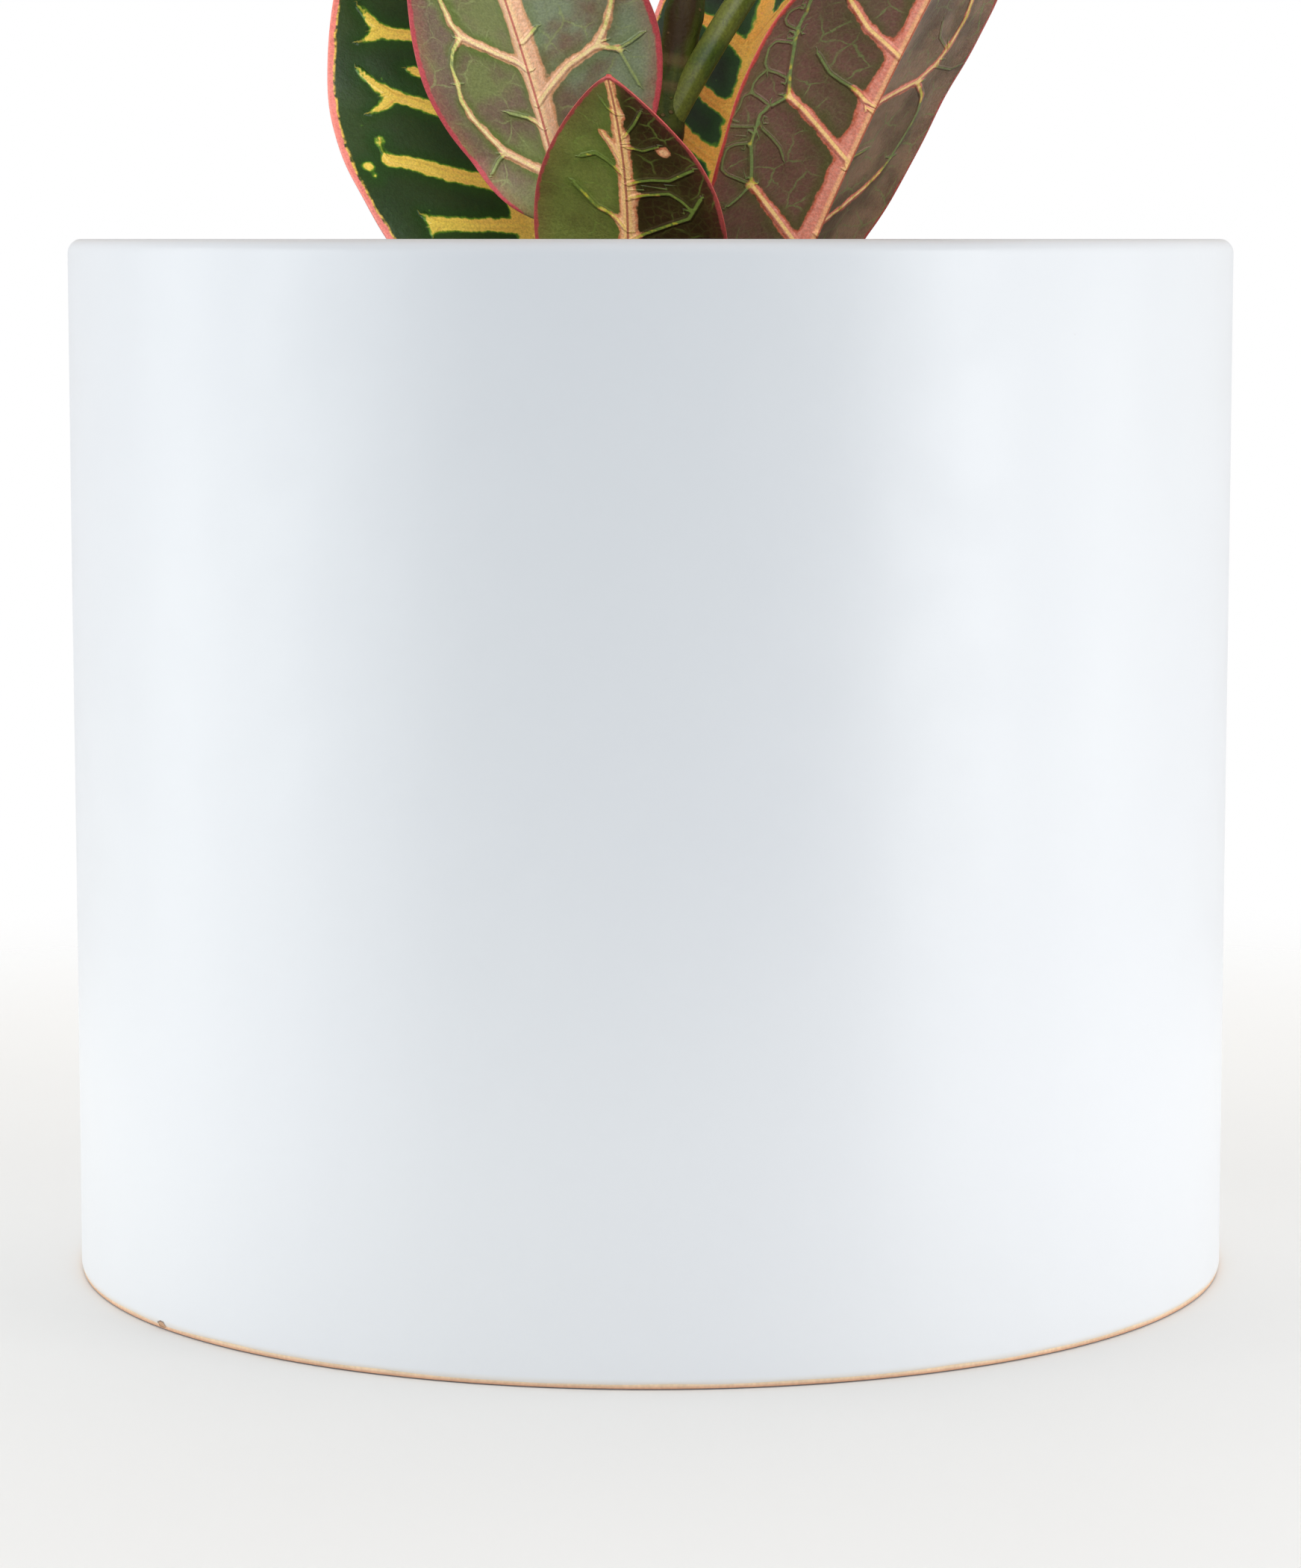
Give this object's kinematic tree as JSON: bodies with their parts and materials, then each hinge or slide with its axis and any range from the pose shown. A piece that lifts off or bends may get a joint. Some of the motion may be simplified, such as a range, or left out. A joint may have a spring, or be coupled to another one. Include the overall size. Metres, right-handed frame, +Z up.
{
  "type": "potted croton",
  "caption": "Croton house plant with broad, boldly veined leaves on upright stems, rooted in soil in a plain white cylindrical pot.",
  "frame": {"origin": "centre of the pot's flat base", "axes": "+Z up along the pot's axis, +X to the right and -Y towards the viewer in the front view"},
  "size_m": [0.3146, 0.3043, 0.4422],
  "materials": {
    "pot_glaze": "matt white glaze with a few pin specks, peach clay showing along the foot",
    "potting_mix": null,
    "foliage": null
  },
  "bodies": {
    "root": {"pot": "pot_glaze", "soil": "potting_mix", "leafy_stem_back": "foliage", "leafy_stem_left": "foliage", "leafy_stem_right": "foliage"}
  },
  "joints": []
}
